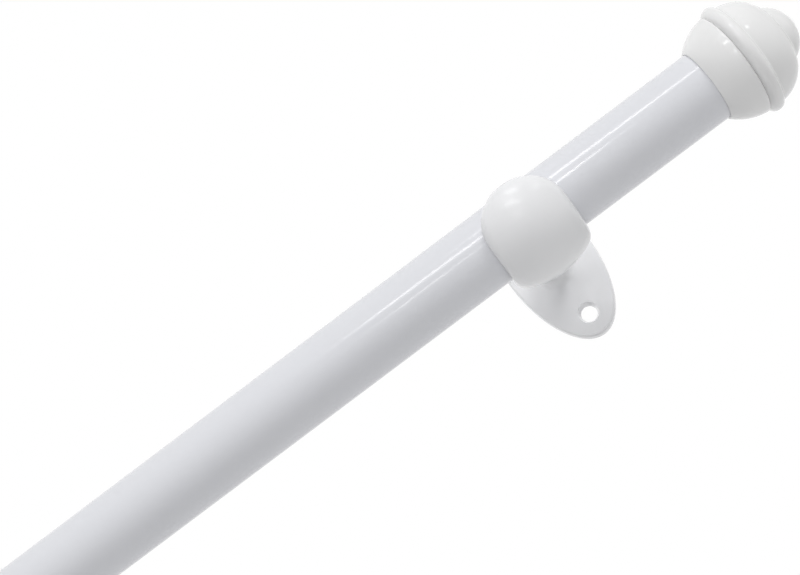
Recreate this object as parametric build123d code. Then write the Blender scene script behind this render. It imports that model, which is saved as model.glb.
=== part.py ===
from build123d import *
import math
import os

# A white curtain rod with two wall brackets and two ball finials.
# Lengths are millimetres. +X runs along the rod to its right end, -Y points into
# the room and +Z is up. The origin is the middle of the right bracket's back
# face, which lies on the wall.

# Rod: one painted steel tube.
ROD_DIAMETER = 19.0
ROD_WALL = 0.8
ROD_LENGTH = 800.0

# Wall plate of a bracket: an upright ellipse with a crowned front.
PLATE_WIDTH = 24.7
PLATE_EDGE_THICKNESS = 1.7
PLATE_CROWN = 0.8
PLATE_ROUND = 0.7

# Screw holes of the plate: a straight land at the wall under a wider mouth.
SCREW_SPACING = 37.0
SCREW_DIAMETER = 4.0
SCREW_CLEARANCE = 0.5
SCREW_LAND = 0.8
SCREW_MOUTH_FLARE = 0.65
SCREW_END_WALL = 4.55

# Arm between the plate and the hook.
ARM_LENGTH = 20.1
ARM_WIDTH = 7.0
ARM_HEIGHT = 10.0
ARM_DROP = 1.2
ARM_CORNER = 2.8
ARM_FILLET = 2.5

# Hook: a crowned cradle around the lower half of the rod, open at the top.
HOOK_WIDTH = 22.5
HOOK_EDGE_WALL = 2.9
HOOK_CROWN = 3.05
HOOK_CLEARANCE = 0.15
LIP_RISE = 7.2
LIP_ARCH = 10.2
HOOK_OUTER_ROUND = 3.4
HOOK_INNER_ROUND = 0.6

# Finial: a socket over the tube's end and a cap pressed over the socket's sleeve.
BRACKET_TO_FINIAL = 55.4
RIM_WALL = 0.45
RIM_ROUND = 0.2
SOCKET_CLEARANCE = 0.05
SLEEVE_WALL = 1.6
SLEEVE_LENGTH = 6.2
END_WALL = 1.6
PLUG_CLEARANCE = 0.1
PLUG_WALL = 1.8
PLUG_SETBACK = 2.0
CAP_CLEARANCE = 0.05
CAP_WALL = 3.0
CAP_END_GAP = 0.3
CAP_HOLLOW_DEPTH = 4.0
CAP_HOLLOW_LEDGE = 3.2
SEAM_OFFSET = 1.2
SEAM_GROOVE = 0.6
FLANGE_WIDTH = 3.7
FLANGE_PEAK = 2.1
FLANGE_HEIGHT = 1.2
FLANGE_FILLET = 0.5
DOME_BULGE = 1.6
NOTCH_RADIUS = 7.8
NOTCH_FILLET = 0.6
NOSE_RADIUS = 8.75
NOSE_OFFSET = 7.25

# Overrun of a cutting shape past the face that it cuts, and the nearness at
# which a point counts as lying on a surface.
OVERCUT = 1.0
TOUCH = 0.01

rod_radius = ROD_DIAMETER / 2
tube_bore = rod_radius - ROD_WALL

screw_hole_radius = (SCREW_DIAMETER + SCREW_CLEARANCE) / 2
screw_mouth_radius = screw_hole_radius + SCREW_MOUTH_FLARE
plate_thickness = PLATE_EDGE_THICKNESS + PLATE_CROWN
plate_height = SCREW_SPACING + 2 * (screw_hole_radius + SCREW_END_WALL)

hook_half = HOOK_WIDTH / 2
hook_bore = rod_radius + HOOK_CLEARANCE
hook_edge_radius = hook_bore + HOOK_EDGE_WALL
hook_radius = hook_edge_radius + HOOK_CROWN
lip_spring = LIP_RISE - LIP_ARCH
rod_y = -(plate_thickness + ARM_LENGTH + hook_radius)

socket_bore = rod_radius + SOCKET_CLEARANCE
rim_radius = socket_bore + RIM_WALL
sleeve_radius = socket_bore + SLEEVE_WALL
cap_bore = sleeve_radius + CAP_CLEARANCE
ball_radius = cap_bore + CAP_WALL
ball_centre = math.sqrt(ball_radius**2 - rim_radius**2)
seam = ball_centre - SEAM_OFFSET
sleeve_end = seam + SLEEVE_LENGTH
tube_end = sleeve_end - END_WALL
plug_radius = tube_bore - PLUG_CLEARANCE

bracket_to_middle = ROD_LENGTH / 2 - tube_end - BRACKET_TO_FINIAL


def rod_tube():
    ring = Circle(rod_radius) - Circle(tube_bore)
    tube = extrude(Plane.YZ * ring, ROD_LENGTH / 2, both=True)
    return Pos(-bracket_to_middle, rod_y, 0) * tube


def crown_radius(half_width, crown):
    return (half_width**2 + crown**2) / (2 * crown)


def wall_plate():
    radius = crown_radius(PLATE_WIDTH / 2, PLATE_CROWN)
    slab = extrude(Plane.XZ * Ellipse(PLATE_WIDTH / 2, plate_height / 2), plate_thickness)
    front = Pos(0, radius - plate_thickness, 0) * Cylinder(radius, plate_height + OVERCUT)
    plate = slab & front
    rim = plate.edges().filter_by(lambda edge: edge.center().Y < -PLATE_EDGE_THICKNESS / 2)
    return fillet(rim, min(PLATE_ROUND, PLATE_EDGE_THICKNESS / 2))


def screw_hole():
    depth = plate_thickness - SCREW_LAND
    land = Cylinder(screw_hole_radius, 2 * (plate_thickness + OVERCUT))
    mouth = Cone(screw_hole_radius, screw_mouth_radius, depth)
    return Rot(90, 0, 0) * (land + Pos(0, 0, SCREW_LAND + depth / 2) * mouth)


def hook_barrel():
    radius = crown_radius(hook_half, HOOK_CROWN)
    reach = hook_half + OVERCUT
    edge = hook_radius - radius + math.sqrt(radius**2 - reach**2)
    crown = ThreePointArc((-reach, edge), (0, hook_radius), (reach, edge))
    closing = Polyline((reach, edge), (reach, 0), (-reach, 0), (-reach, edge))
    return revolve(make_face(crown + closing), Axis.X)


def hook_outline():
    bottom = -hook_radius - OVERCUT
    arch = EllipticalCenterArc((0, lip_spring), hook_half, LIP_ARCH, 0, arc_size=180)
    left = (-hook_half, lip_spring)
    right = (hook_half, lip_spring)
    return make_face(arch + Polyline(left, (-hook_half, bottom), (hook_half, bottom), right))


def hook_opening():
    length = HOOK_WIDTH + 2 * OVERCUT
    height = LIP_RISE + OVERCUT
    bore = Rot(0, 90, 0) * Cylinder(hook_bore, length)
    return bore + Pos(0, 0, height / 2) * Box(length, 2 * hook_bore, height)


def in_opening(point):
    reach = abs(point.Y) if point.Z > 0 else math.hypot(point.Y, point.Z)
    return reach < hook_bore + TOUCH


def on_opening(edge):
    return all(in_opening(edge @ share) for share in (0, 0.5, 1))


def hook():
    prism = extrude(Plane.XZ * hook_outline(), hook_radius + OVERCUT, both=True)
    blank = (hook_barrel() & prism) - hook_opening()
    curved = blank.edges().filter_by(GeomType.LINE, reverse=True)
    outer = curved.filter_by(lambda edge: abs((edge @ 0).Y) > hook_bore + HOOK_EDGE_WALL / 2)
    rounded = fillet(outer, min(HOOK_OUTER_ROUND, 1.2 * HOOK_EDGE_WALL))
    curved = rounded.edges().filter_by(GeomType.LINE, reverse=True)
    return fillet(curved.filter_by(on_opening), min(HOOK_INNER_ROUND, HOOK_EDGE_WALL / 4))


def arm():
    length = ARM_LENGTH + HOOK_CROWN + (HOOK_EDGE_WALL + plate_thickness) / 2
    corner = min(ARM_CORNER, ARM_WIDTH / 3, ARM_HEIGHT / 3)
    section = Pos(0, -ARM_DROP) * RectangleRounded(ARM_WIDTH, ARM_HEIGHT, corner)
    return Pos(0, -plate_thickness / 2, 0) * extrude(Plane.XZ * section, length)


def at_arm_end(edge):
    middle = edge @ 0.5
    on_arm = abs(middle.X) < ARM_WIDTH and abs(middle.Z + ARM_DROP) < ARM_HEIGHT / 2 + TOUCH
    behind_hook = middle.Y > rod_y + hook_edge_radius
    crosswise = abs((edge % 0.5).Y) < math.sqrt(0.5)
    return on_arm and behind_hook and crosswise


def bracket(x):
    solid = wall_plate() + arm() + Pos(0, rod_y, 0) * hook()
    solid = fillet(solid.edges().filter_by(at_arm_end), ARM_FILLET)
    for side in (-1, 1):
        solid -= Pos(0, 0, side * SCREW_SPACING / 2) * screw_hole()
    return Pos(x, 0, 0) * solid


def on_ball(x):
    return x, math.sqrt(ball_radius**2 - (x - ball_centre) ** 2)


def tube_x(start, end, radius):
    middle = (start + end) / 2
    return Pos(middle, 0, 0) * Rot(0, 90, 0) * Cylinder(radius, end - start)


def round_ring(solid, x, radius, amount):
    def on_ring(edge):
        point = edge @ 0
        return math.dist((point.X, math.hypot(point.Y, point.Z)), (x, radius)) < TOUCH

    return fillet(solid.edges().filter_by(on_ring), amount)


def finial_socket():
    ball = ThreePointArc((0, rim_radius), on_ball(seam / 2), on_ball(seam))
    sleeve = Polyline(on_ball(seam), (seam, sleeve_radius), (sleeve_end, sleeve_radius),
                      (sleeve_end, 0), (0, 0), (0, rim_radius))
    solid = revolve(make_face(ball + sleeve), Axis.X)
    solid = round_ring(solid, 0, rim_radius, min(RIM_ROUND, RIM_WALL / 2))
    solid = round_ring(solid, *on_ball(seam), SEAM_GROOVE)
    plug = tube_x(PLUG_SETBACK, tube_end, plug_radius)
    core = tube_x(-OVERCUT, tube_end, plug_radius - PLUG_WALL)
    return solid - (tube_x(-OVERCUT, tube_end, socket_bore) - plug) - core


def flange_profile():
    start = (seam, ball_radius - SEAM_GROOVE)
    peak = (seam + FLANGE_PEAK, ball_radius + FLANGE_HEIGHT)
    foot = (seam + FLANGE_WIDTH, ball_radius)
    rise = Spline(start, peak, tangents=[(1, 2), (1, 0)])
    return rise + Spline(peak, foot, tangents=[(1, 0), (1, -2)])


def finial_cap():
    nose_centre = ball_centre + NOSE_OFFSET
    tip = nose_centre + NOSE_RADIUS
    foot = (seam + FLANGE_WIDTH, ball_radius)
    notch = (nose_centre + math.sqrt(NOSE_RADIUS**2 - NOTCH_RADIUS**2), NOTCH_RADIUS)
    shoulder = NOSE_RADIUS * math.sqrt(0.5)
    dome = SagittaArc(foot, notch, DOME_BULGE)
    nose = ThreePointArc(notch, (nose_centre + shoulder, shoulder), (tip, 0))
    closing = Polyline((tip, 0), (seam, 0), (seam, ball_radius - SEAM_GROOVE))
    solid = revolve(make_face(flange_profile() + dome + nose + closing), Axis.X)
    solid = round_ring(solid, *foot, FLANGE_FILLET)
    solid = round_ring(solid, *notch, NOTCH_FILLET)
    bottom = sleeve_end + CAP_END_GAP
    hollow = tube_x(bottom - OVERCUT, bottom + CAP_HOLLOW_DEPTH, cap_bore - CAP_HOLLOW_LEDGE)
    return solid - tube_x(seam - OVERCUT, bottom, cap_bore) - hollow


def right_end(solid):
    return Pos(BRACKET_TO_FINIAL, rod_y, 0) * solid


def left_end(solid):
    return Pos(-2 * bracket_to_middle - BRACKET_TO_FINIAL, rod_y, 0) * Rot(0, 0, 180) * solid


def main():
    socket = finial_socket()
    cap = finial_cap()
    solids = {
        "rod_tube": rod_tube(),
        "right_bracket": bracket(0),
        "left_bracket": bracket(-2 * bracket_to_middle),
        "right_finial_socket": right_end(socket),
        "right_finial_cap": right_end(cap),
        "left_finial_socket": left_end(socket),
        "left_finial_cap": left_end(cap),
    }
    os.makedirs("parts", exist_ok=True)
    for name, solid in solids.items():
        export_step(solid, f"parts/{name}.step")


main()
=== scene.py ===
import math

import bmesh
import bpy
from mathutils import Matrix, Vector


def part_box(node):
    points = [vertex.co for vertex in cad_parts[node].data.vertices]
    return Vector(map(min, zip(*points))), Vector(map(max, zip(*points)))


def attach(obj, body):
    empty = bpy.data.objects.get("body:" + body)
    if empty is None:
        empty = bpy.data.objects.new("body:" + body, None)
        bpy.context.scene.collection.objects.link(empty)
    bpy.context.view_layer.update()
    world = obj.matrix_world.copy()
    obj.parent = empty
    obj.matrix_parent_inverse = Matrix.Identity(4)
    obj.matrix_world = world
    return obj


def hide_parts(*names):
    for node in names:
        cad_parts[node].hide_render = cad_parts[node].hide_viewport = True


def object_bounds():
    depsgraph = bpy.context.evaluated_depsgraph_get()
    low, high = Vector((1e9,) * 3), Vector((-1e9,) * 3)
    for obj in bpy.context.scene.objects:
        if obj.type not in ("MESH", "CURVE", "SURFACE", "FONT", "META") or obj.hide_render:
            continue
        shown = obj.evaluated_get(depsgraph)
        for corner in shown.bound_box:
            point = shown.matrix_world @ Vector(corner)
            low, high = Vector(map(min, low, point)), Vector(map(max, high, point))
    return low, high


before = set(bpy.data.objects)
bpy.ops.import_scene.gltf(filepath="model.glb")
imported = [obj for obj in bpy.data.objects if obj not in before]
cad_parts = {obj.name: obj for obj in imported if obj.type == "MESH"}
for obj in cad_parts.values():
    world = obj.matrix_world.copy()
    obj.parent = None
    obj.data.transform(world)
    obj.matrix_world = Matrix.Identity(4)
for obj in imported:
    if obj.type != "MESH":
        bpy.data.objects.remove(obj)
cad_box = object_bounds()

# A white curtain rod that lies in the open hooks of two moulded brackets, with a
# ball finial at each end. Lengths are metres, in the frame of the solids: +X
# along the rod to its right end, -Y into the room, +Z up.

MM = 0.001

# Camera: from the room it looks up at the right bracket, with the rod rising
# across the picture. The lens and sensor are in millimetres, and the aim is
# taken from the rod's axis in that bracket's hook.
LENS = 69.3
SENSOR = 36.0
NEAREST_SEEN = 10 * MM
AIM = Vector((-34.9, 0, 6.2)) * MM
AIM_DISTANCE = 386.0 * MM
CAMERA_TURN = math.radians(2.94)
CAMERA_TILT = math.radians(19.89)
CAMERA_ROLL = math.radians(-35.98)

# A glow is a brightness, where 1 shows as white. The room shows as white, but
# lights the object with only this much.
ROOM_GLOW = 0.15

# Soft boxes, all at one distance from the hook. The turn is from the room's side
# towards the rod's right end, and the lift is above the horizon, in degrees.
BOX_DISTANCE = 1.6
BOX_SIZE = 0.6
SOFT_BOXES = {
    "box_key": dict(turn=45, lift=40, glow=9.3),
    "box_centre": dict(turn=0, lift=40, glow=3.9),
    "box_left": dict(turn=-60, lift=40, glow=5.4),
    "box_right": dict(turn=90, lift=8, glow=3),
    "box_low": dict(turn=0, lift=0, glow=2.5),
    "box_right_rear": dict(turn=150, lift=20, glow=11.1),
    "box_left_rear": dict(turn=-120, lift=15, glow=10),
}

# Strip lamps, nearer the hook: the turn and lift of their two ends, their width
# and their glow. The gloss mirrors each as a thin bright line or a small glint.
STRIP_DISTANCE = 1.04
STRIPS = {
    "strip_high": dict(start=(0.7, 48.5), end=(18.8, 40.0), width=0.09, glow=8),
    "strip_low": dict(start=(3.6, 20.8), end=(7.7, 20.3), width=0.09, glow=13),
    "strip_left": dict(start=(3.4, 23.9), end=(-8.2, 30.8), width=0.09, glow=8.3),
    "strip_front": dict(start=(-1.7, 3.4), end=(-5.2, 2.2), width=0.07, glow=8.5),
    "strip_end": dict(start=(35.5, 26.0), end=(41.5, 24.0), width=0.10, glow=7.5),
}

# Floor, well below the rod: matt in its clear middle, and fading beyond that to
# the white of the room. The sheen is the share of that white in the middle.
FLOOR_DROP = 0.5
FLOOR_RADIUS = 6.0
FLOOR_SIDES = 96
FLOOR_CLEAR = 0.9
FLOOR_FADE = 1.6
FLOOR_SHEEN = 0.4
FLOOR_TONE = (0.70, 0.70, 0.70)

# Tube: thin walled, with the edges of its cut ends eased.
TUBE_WALL = 0.8 * MM
END_EASE = 0.2 * MM
EASE_STEPS = 4
TUBE_SIDES = 128
TUBE_STATIONS = 80

# Finishes. Each goes between a full and a thin tone in soft blotches, where the
# roughness swings a little too, and its surface has a faint ripple.
ENAMEL = dict(full=(0.686, 0.693, 0.725), thin=(0.676, 0.684, 0.716), blotch=12 * MM,
              roughness=0.145, ripple=1.6 * MM, rise=0.0006 * MM)
BRACKET_PLASTIC = dict(full=(0.785, 0.788, 0.800), thin=(0.772, 0.775, 0.788), blotch=7 * MM,
                       roughness=0.225, ripple=0.9 * MM, rise=0.001 * MM)
FINIAL_PLASTIC = dict(full=(0.768, 0.768, 0.768), thin=(0.754, 0.754, 0.755), blotch=7 * MM,
                      roughness=0.145, ripple=0.9 * MM, rise=0.001 * MM)
ROUGHNESS_SWING = 0.05
GLOSS_IOR = 1.5
BLOTCH_DETAIL = 2.0
RIPPLE_DETAIL = 1.0
NOISE_ROUGHNESS = 0.5
NOISE_MIDDLE = 0.5

# Sockets given by number, because their node has several of the same name.
MIX_SHARE, MIX_FIRST, MIX_SECOND, MIX_COLOUR = 0, 6, 7, 2
BLEND_SHARE, BLEND_FIRST, BLEND_SECOND = 0, 1, 2


class Wire:
    """A socket in a shader tree. Arithmetic on it adds Math nodes."""

    def __init__(self, tree, socket=None):
        self.tree = tree
        self.socket = socket

    def node(self, kind, settings, sockets, output=0):
        """A new node: its settings first, then its sockets, which are values or wires."""
        made = self.tree.nodes.new(kind)
        for name, value in settings.items():
            setattr(made, name, value)
        for name, value in sockets.items():
            if isinstance(value, Wire):
                self.tree.links.new(value.socket, made.inputs[name])
            else:
                made.inputs[name].default_value = value
        return Wire(self.tree, made.outputs[output] if made.outputs else None)

    def math(self, operation, *values):
        return self.node("ShaderNodeMath", {"operation": operation}, dict(enumerate(values)))

    def __add__(self, other):
        return self.math("ADD", self, other)

    __radd__ = __add__

    def __sub__(self, other):
        return self.math("SUBTRACT", self, other)

    def __rsub__(self, other):
        return self.math("SUBTRACT", other, self)

    def __mul__(self, other):
        return self.math("MULTIPLY", self, other)

    __rmul__ = __mul__


def blank_tree(owner):
    """The emptied shader tree of a material or a world."""
    owner.use_nodes = True
    owner.node_tree.nodes.clear()
    return Wire(owner.node_tree)


def noise(tree, place, size, detail):
    """Cloudy values about NOISE_MIDDLE, with blotches of the given size."""
    sockets = {"Vector": place, "Scale": 1 / size, "Detail": detail, "Roughness": NOISE_ROUGHNESS}
    return tree.node("ShaderNodeTexNoise", {}, sockets, "Fac")


def mixed(tree, share, first, second):
    """The first colour, going over to the second as the share rises."""
    sockets = {MIX_SHARE: share, MIX_FIRST: (*first, 1), MIX_SECOND: (*second, 1)}
    return tree.node("ShaderNodeMix", {"data_type": "RGBA"}, sockets, MIX_COLOUR)


def bumped(tree, height, rise):
    """Normals of a surface that rises by this much where the height is 1."""
    return tree.node("ShaderNodeBump", {}, {"Height": height, "Strength": 1.0, "Distance": rise})


def gloss_white(name, full, thin, blotch, roughness, ripple, rise):
    """A gloss finish: two close tones in blotches, over a ripple of one size and rise."""
    material = bpy.data.materials.new(name)
    tree = blank_tree(material)
    place = tree.node("ShaderNodeTexCoord", {}, {}, "Object")
    cloud = noise(tree, place, blotch, BLOTCH_DETAIL)
    relief = noise(tree, place, ripple, RIPPLE_DETAIL)
    sockets = {
        "Base Color": mixed(tree, cloud, full, thin),
        "Roughness": roughness + ROUGHNESS_SWING * (cloud - NOISE_MIDDLE),
        "IOR": GLOSS_IOR,
        "Normal": bumped(tree, relief, rise),
    }
    shader = tree.node("ShaderNodeBsdfPrincipled", {}, sockets)
    tree.node("ShaderNodeOutputMaterial", {}, {"Surface": shader})
    return material


def linked(name, data):
    """A new object in the scene."""
    placed = bpy.data.objects.new(name, data)
    bpy.context.scene.collection.objects.link(placed)
    return placed


def piece_of(name, mesh, material):
    """A new object of the scene with this mesh and finish."""
    data = bpy.data.meshes.new(name)
    mesh.to_mesh(data)
    mesh.free()
    data.materials.append(material)
    return linked(name, data)


def spun(profile, centre_line):
    """A closed mesh: the profile, as (x, radius) points, turned about the rod's axis."""
    turns = [2 * math.pi * side / TUBE_SIDES for side in range(TUBE_SIDES)]
    mesh = bmesh.new()
    rings = []
    for x, radius in profile:
        ring = [Vector((x, radius * math.cos(turn), radius * math.sin(turn))) for turn in turns]
        rings.append([mesh.verts.new(centre_line + point) for point in ring])
    for ring, after in zip(rings, rings[1:] + rings[:1]):
        for side in range(TUBE_SIDES):
            following = (side + 1) % TUBE_SIDES
            mesh.faces.new((ring[side], after[side], after[following], ring[following]))
    bmesh.ops.recalc_face_normals(mesh, faces=mesh.faces)
    return mesh


def eased_end(x, radius, bore, facing):
    """Points over the wall's end at x, from outside to bore, with both edges rounded."""
    quarter = math.pi / 2
    points = []
    for middle, first in ((radius - END_EASE, 0), (bore + END_EASE, quarter)):
        for step in range(EASE_STEPS + 1):
            angle = first + quarter * step / EASE_STEPS
            along = x + facing * END_EASE * (math.sin(angle) - 1)
            points.append((along, middle + END_EASE * math.cos(angle)))
    return points


def rod():
    """The painted tube, in place of the plain one."""
    low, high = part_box("rod_tube")
    radius = (high.y - low.y) / 2
    bore = radius - TUBE_WALL
    centre_line = Vector((0, (low.y + high.y) / 2, (low.z + high.z) / 2))
    length = high.x - low.x
    stations = [low.x + length * step / TUBE_STATIONS for step in range(1, TUBE_STATIONS)]
    profile = [(x, radius) for x in stations]
    profile += eased_end(high.x, radius, bore, 1)
    profile += [(x, bore) for x in reversed(stations)]
    profile += reversed(eased_end(low.x, radius, bore, -1))
    enamel = gloss_white("tube_enamel", **ENAMEL)
    piece = piece_of("painted_tube", spun(profile, centre_line), enamel)
    piece.data.shade_smooth()
    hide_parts("rod_tube")
    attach(piece, "rod")


def finish_node(name, material):
    """The finish of a solid that keeps its own shape."""
    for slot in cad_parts[name].material_slots:
        slot.material = material


def brackets_and_finials():
    """The plastic mouldings at both ends, which only need their finishes."""
    bracket_plastic = gloss_white("bracket_plastic", **BRACKET_PLASTIC)
    finial_plastic = gloss_white("finial_plastic", **FINIAL_PLASTIC)
    for side in ("right", "left"):
        finish_node(f"{side}_bracket", bracket_plastic)
        finish_node(f"{side}_finial_socket", finial_plastic)
        finish_node(f"{side}_finial_cap", finial_plastic)


def hook_centre():
    """The point of the rod's axis in the middle of the right bracket's hook."""
    plate_low, plate_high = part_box("right_bracket")
    tube_low, tube_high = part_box("rod_tube")
    middle = (tube_low + tube_high) / 2
    return Vector(((plate_low.x + plate_high.x) / 2, middle.y, middle.z))


def camera(centre):
    """The view of the right bracket and the rod's end."""
    # An unturned camera looks straight down, and a quarter turn levels it.
    turn = Matrix.Rotation(CAMERA_TURN, 3, "Z")
    tilt = Matrix.Rotation(math.pi / 2 + CAMERA_TILT, 3, "X")
    roll = Matrix.Rotation(CAMERA_ROLL, 3, "Z")
    facing = turn @ tilt @ roll
    data = bpy.data.cameras.new("camera")
    data.lens = LENS
    data.sensor_width = SENSOR
    data.clip_start = NEAREST_SEEN
    eye = linked("camera", data)
    eye.location = centre + AIM + facing @ Vector((0, 0, AIM_DISTANCE))
    eye.rotation_euler = facing.to_euler()
    bpy.context.scene.camera = eye


def spot_about(centre, turn, lift, distance):
    """A point that far from centre, turned and lifted from the room's side of it."""
    turned = Matrix.Rotation(math.radians(turn), 3, "Z")
    lifted = Matrix.Rotation(math.radians(-lift), 3, "X")
    return centre + turned @ lifted @ Vector((0, -distance, 0))


def lamp(name, centre, spot, along, width, height, glow):
    """A flat lamp that faces centre, with its width laid along a direction."""
    data = bpy.data.lights.new(name, "AREA")
    data.shape = "RECTANGLE"
    data.size = width
    data.size_y = height
    # The power that gives a flat lamp of this size its glow.
    data.energy = glow * math.pi * width * height
    back = (spot - centre).normalized()
    side = (along - along.dot(back) * back).normalized()
    placed = linked(name, data)
    placed.matrix_world = Matrix((side, back.cross(side), back)).transposed().to_4x4()
    placed.location = spot
    placed.visible_camera = False
    return placed


def soft_boxes(centre):
    """Broad lamps that only shade the object: the gloss doesn't mirror them."""
    upward = Vector((0, 0, 1))
    for name, box in SOFT_BOXES.items():
        spot = spot_about(centre, box["turn"], box["lift"], BOX_DISTANCE)
        level = upward.cross(spot - centre)
        soft_box = lamp(name, centre, spot, level, BOX_SIZE, BOX_SIZE, box["glow"])
        soft_box.visible_glossy = False


def strips(centre):
    """Narrow lamps that draw the bright lines on the gloss."""
    for name, strip in STRIPS.items():
        start = spot_about(centre, *strip["start"], STRIP_DISTANCE)
        end = spot_about(centre, *strip["end"], STRIP_DISTANCE)
        along = end - start
        lamp(name, centre, (start + end) / 2, along, along.length, strip["width"], strip["glow"])


def seen_directly(tree):
    """One where the camera looks at a surface, and nought elsewhere."""
    return tree.node("ShaderNodeLightPath", {}, {}, "Is Camera Ray")


def seen_in_gloss(tree):
    """One where a surface shows in gloss or through glass, and nought elsewhere."""
    gloss = tree.node("ShaderNodeLightPath", {}, {}, "Is Glossy Ray")
    glass = tree.node("ShaderNodeLightPath", {}, {}, "Is Transmission Ray")
    return tree.math("MAXIMUM", gloss, glass)


def backdrop():
    """A white room: full white where it is seen or mirrored, and dimmer as light."""
    world = bpy.data.worlds.new("white_room")
    bpy.context.scene.world = world
    tree = blank_tree(world)
    seen = tree.math("MAXIMUM", seen_directly(tree), seen_in_gloss(tree))
    glow = ROOM_GLOW + seen * (1 - ROOM_GLOW)
    light = tree.node("ShaderNodeBackground", {}, {"Color": (1, 1, 1, 1), "Strength": glow})
    tree.node("ShaderNodeOutputWorld", {}, {"Surface": light})


def pale_floor():
    """Matt that takes the shadow, under a white that shows and mirrors but isn't a lamp."""
    material = bpy.data.materials.new("pale_floor")
    material.cycles.emission_sampling = "NONE"
    tree = blank_tree(material)
    place = tree.node("ShaderNodeTexCoord", {}, {}, "Object")
    distance = tree.node("ShaderNodeVectorMath", {"operation": "LENGTH"}, {"Vector": place}, "Value")
    reach = {"Value": distance, "From Min": FLOOR_CLEAR, "From Max": FLOOR_CLEAR + FLOOR_FADE}
    fade = tree.node("ShaderNodeMapRange", {"interpolation_type": "SMOOTHSTEP"}, reach)
    sheen = FLOOR_SHEEN + fade * (1 - FLOOR_SHEEN)
    share = tree.math("MAXIMUM", sheen * seen_directly(tree), seen_in_gloss(tree))
    matt = tree.node("ShaderNodeBsdfDiffuse", {}, {"Color": (*FLOOR_TONE, 1)})
    white = tree.node("ShaderNodeEmission", {}, {"Color": (1, 1, 1, 1), "Strength": 1.0})
    layers = {BLEND_SHARE: share, BLEND_FIRST: matt, BLEND_SECOND: white}
    blend = tree.node("ShaderNodeMixShader", {}, layers)
    tree.node("ShaderNodeOutputMaterial", {}, {"Surface": blend})
    return material


def floor():
    """A round floor under the rod's middle."""
    low, high = cad_box
    mesh = bmesh.new()
    bmesh.ops.create_circle(mesh, cap_ends=True, segments=FLOOR_SIDES, radius=FLOOR_RADIUS)
    piece = piece_of("floor", mesh, pale_floor())
    piece.location = ((low.x + high.x) / 2, (low.y + high.y) / 2, low.z - FLOOR_DROP)


def main():
    bpy.context.scene.view_settings.view_transform = "Standard"
    rod()
    brackets_and_finials()
    centre = hook_centre()
    camera(centre)
    soft_boxes(centre)
    strips(centre)
    backdrop()
    floor()


main()
